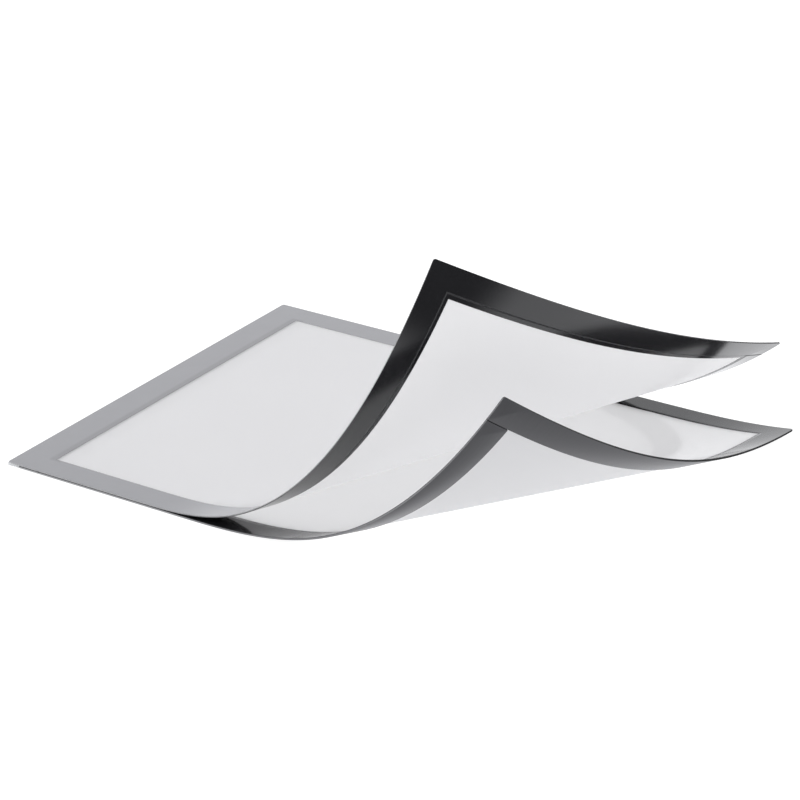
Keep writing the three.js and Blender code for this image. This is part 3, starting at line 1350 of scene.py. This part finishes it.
@dataclass
class BackSheet:
    """The back sheet: clear film on bare magnet strips, and the clear strip that joins it to the cover.

    Args:
        strip_bound: Width of the magnet strip along the bound edge.
        strip_long: Width of the long strips.
        strip_free: Width of the strip along the free edge.
        fold_radius: Rounding of the clear strip's outer edges.
        fold_steps: Rows of faces in that rounding.
    """

    strip_bound: float = 12.4 * MM
    strip_long: float = 13.1 * MM
    strip_free: float = 13.3 * MM
    fold_radius: float = 0.15 * MM
    fold_steps: int = 3

    @property
    def window(self) -> Box:
        """The part of the sheet that its window takes up."""
        low_x = SHEET.strip_start + self.strip_bound
        return (low_x, SHEET.length - self.strip_free, self.strip_long, SHEET.width - self.strip_long)

    def build(self, bender: Bender) -> None:
        """Makes the pieces.

        Args:
            bender: Curls them.
        """
        start = SHEET.binding_width - SHEET.binding_slot + BOND_LINE
        film = Plate((start, SHEET.length), (0, SHEET.width), REAR_FILM)
        strips = Strips(self.strip_bound, self.strip_long, self.strip_free, REAR_MAGNET)
        for node, plate, slot in (("rear_window_film", film, Slot.CLEAR), *strips.pieces("rear")):
            bender.add(node, plate, slot)
        self._add_binding(bender)

    def _add_binding(self, bender: Bender) -> None:
        """Makes the clear strip along the bound edge, folded round the film.

        Args:
            bender: The sheet's bender.
        """
        wide, slot = SHEET.binding_width, SHEET.binding_width - SHEET.binding_slot
        low, high = REAR_FILM.bottom - BOND_LINE, REAR_FILM.top + BOND_LINE
        top = COVER_FILM.bottom - BOND_LINE
        slotted = ((wide, low), (slot, low), (slot, high), (wide, high))
        profile = ((0, 0), (wide, 0), *slotted, (wide, top), (0, top))
        solid = bmesh.new()
        solid.faces.new([solid.verts.new((x, 0, z)) for x, z in profile])
        extrude(solid, Vector((0, SHEET.width, 0)))
        outer = [edge for edge in solid.edges if all(vert.co.x == 0 for vert in edge.verts)]
        round_off(solid, outer, self.fold_radius, self.fold_steps)
        add_maps(solid)
        bmesh.ops.translate(solid, verts=solid.verts, vec=-bender.origin)
        name = "binding_strip_skin"
        piece = add_object(name, to_mesh(solid, name))
        piece.data.materials.append(bender.finishes[Slot.STRIP])
        finish_piece(piece, Body.BACK, ["binding_strip"])


def direction(azimuth: float, elevation: float) -> Vector:
    """Unit vector at an azimuth, from -Y towards +X, and an elevation, both in degrees."""
    around, up = math.radians(azimuth), math.radians(elevation)
    return Vector((math.sin(around) * math.cos(up), -math.cos(around) * math.cos(up), math.sin(up)))


@dataclass
class Studio:
    """Camera, floor and lights.

    Args:
        target: Point on the floor in the middle of the picture.
        distance: Distance from there to the camera.
        azimuth: Direction to the camera, in degrees from -Y towards +X.
        elevation: Its angle above the floor, in degrees.
        roll: Turn of the camera about its view, in degrees.
        lens: Focal length, in millimetres.
        sensor: Width of the sensor, in millimetres.
        clip: Nearest and farthest distance that the camera sees.
        floor_size: Side of the square floor.
        floor_level: Height of the floor.
        floor_colour: Colour of the floor.
        floor_glow: Light that the floor gives off.
        wall_light: Light from the tent's walls.
        roof_light: Light from its roof.
        roof_rise: Values of a direction's z between which the walls pass into the roof.
        table_light: Light from below that glossy surfaces mirror, at the front.
        table_back_light: The same light at the back.
        table_depth: Values of a direction's y between which the one passes into the other.
        table_drop: Values of its z between which they pass into the walls.
        gap_direction: Azimuth and elevation of the dark gap's middle, in degrees.
        gap_edge: Angles from its middle between which the gap ends, in degrees.
        gap_depth: Share of light that is missing there.
        tent_colour: Colour of the tent's light.
        overhead_height: Height of the softbox above the frame.
        overhead_size: Its side.
        overhead_power: Its power.
    """

    target: Vector = field(default_factory=lambda: Vector((112.3, 50.54, 0)) * MM)
    distance: float = 1649 * MM
    azimuth: float = 35.0
    elevation: float = 25.02
    roll: float = -1.45
    lens: float = 140.8
    sensor: float = 36.0
    clip: Pair = (0.05, 50.0)
    floor_size: float = 12.0
    floor_level: float = -0.05 * MM
    floor_colour: Colour = (0.25, 0.25, 0.25, 1)
    floor_glow: float = 0.95
    wall_light: float = 1.18
    roof_light: float = 0.88
    roof_rise: Pair = (0.15, 0.6)
    table_light: float = 0.95
    table_back_light: float = 1.5
    table_depth: Pair = (0.0, 0.5)
    table_drop: Pair = (-0.3, -0.1)
    gap_direction: Pair = (64.0, 0.0)
    gap_edge: Pair = (22.0, 38.0)
    gap_depth: float = 0.92
    tent_colour: Colour = (0.97, 0.977, 1.0, 1)
    overhead_height: float = 1.8
    overhead_size: float = 1.8
    overhead_power: float = 8.0

    def build(self) -> None:
        """Makes camera, floor and lights."""
        self._add_camera()
        self._add_floor()
        self._add_world()
        self._add_softbox()
        bpy.context.scene.view_settings.view_transform = "Standard"

    def _add_camera(self) -> None:
        """Makes the camera."""
        back = direction(self.azimuth, self.elevation)
        data = bpy.data.cameras.new("camera")
        data.lens, data.sensor_width = self.lens, self.sensor
        data.clip_start, data.clip_end = self.clip
        camera = add_object("camera", data)
        camera.location = self.target + back * self.distance
        turn = (-back).to_track_quat("-Z", "Y").to_matrix().to_4x4()
        roll = Euler((0, 0, math.radians(self.roll))).to_matrix().to_4x4()
        camera.rotation_euler = (turn @ roll).to_euler()
        bpy.context.scene.camera = camera

    def _add_floor(self) -> None:
        """Makes the pale floor, lit so evenly that shadows nearly vanish."""
        mesh = bpy.data.meshes.new("floor")
        half, level = self.floor_size / 2, self.floor_level
        corners = [(-half, -half, level), (half, -half, level), (half, half, level), (-half, half, level)]
        mesh.from_pydata(corners, [], [(0, 1, 2, 3)])
        material = bpy.data.materials.new("floor")
        material.use_nodes = True
        graph = Graph(material.node_tree)
        matt = graph.shader("Diffuse", {"Color": self.floor_colour})
        glow = graph.node("ShaderNodeEmission", {}, {"Color": (1, 1, 1, 1), "Strength": self.floor_glow})
        both = graph.node("ShaderNodeAddShader", {}, {0: matt, 1: glow})
        graph.node("ShaderNodeOutputMaterial", {}, {"Surface": both})
        mesh.materials.append(material)
        floor = add_object("floor", mesh)
        floor.visible_glossy = False

    def _add_world(self) -> None:
        """Makes the light tent: bright at the back and below, with a dark gap at one side."""
        world = bpy.data.worlds.new("light_tent")
        world.use_nodes = True
        bpy.context.scene.world = world
        graph = Graph(world.node_tree)
        toward = graph.node("ShaderNodeTexCoord", {}, {}, "Generated")
        _, back, height = graph.split(toward)
        wall = self.wall_light + (self.roof_light - self.wall_light) * height.ramp(*self.roof_rise)
        table = self.table_light + (self.table_back_light - self.table_light) * back.ramp(*self.table_depth)
        light = wall + (table - self.wall_light) * (1 - height.ramp(*self.table_drop))
        near, far = (math.cos(math.radians(value)) for value in self.gap_edge)
        gap = graph.dot(toward, direction(*self.gap_direction)).ramp(far, near)
        values = {"Color": self.tent_colour, "Strength": light * (1 - gap * self.gap_depth)}
        background = graph.node("ShaderNodeBackground", {}, values)
        graph.node("ShaderNodeOutputWorld", {}, {"Surface": background})

    def _add_softbox(self) -> None:
        """Makes the softbox above."""
        data = bpy.data.lights.new("overhead", "AREA")
        data.size, data.energy = self.overhead_size, self.overhead_power
        add_object("overhead", data).location = (self.target.x, 0, self.overhead_height)


def main() -> None:
    """Builds the frame's pieces and the studio, and reports each piece."""
    logging.basicConfig(level=logging.INFO, format="%(message)s")
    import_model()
    Studio().build()
    tree = CurlTree()
    back, cover = BackSheet(), Cover()
    origin = Vector((SHEET.strip_start + back.strip_bound / 2, SHEET.width / 2, 0))
    made = (
        SilverFoil(edge=cover.window[0], sides=cover.window[2:]),
        FrostedFilm(edge=cover.window[0]),
        ClearFilm(window=back.window, start=SHEET.strip_start),
        GlossBlack(),
        MagnetSheet(),
        ClearStrip(),
    )
    finishes = {finish.slot: finish.build() for finish in made}
    for sheet, curl, middle, body in (
        (back, REAR_CURL, REAR_MIDDLE, Body.BACK),
        (cover, COVER_CURL, COVER_MIDDLE, Body.COVER),
    ):
        bender = Bender(curl, middle, body, tree, origin, finishes)
        sheet.build(bender)
        bender.clear()


if __name__ == "__main__":
    main()
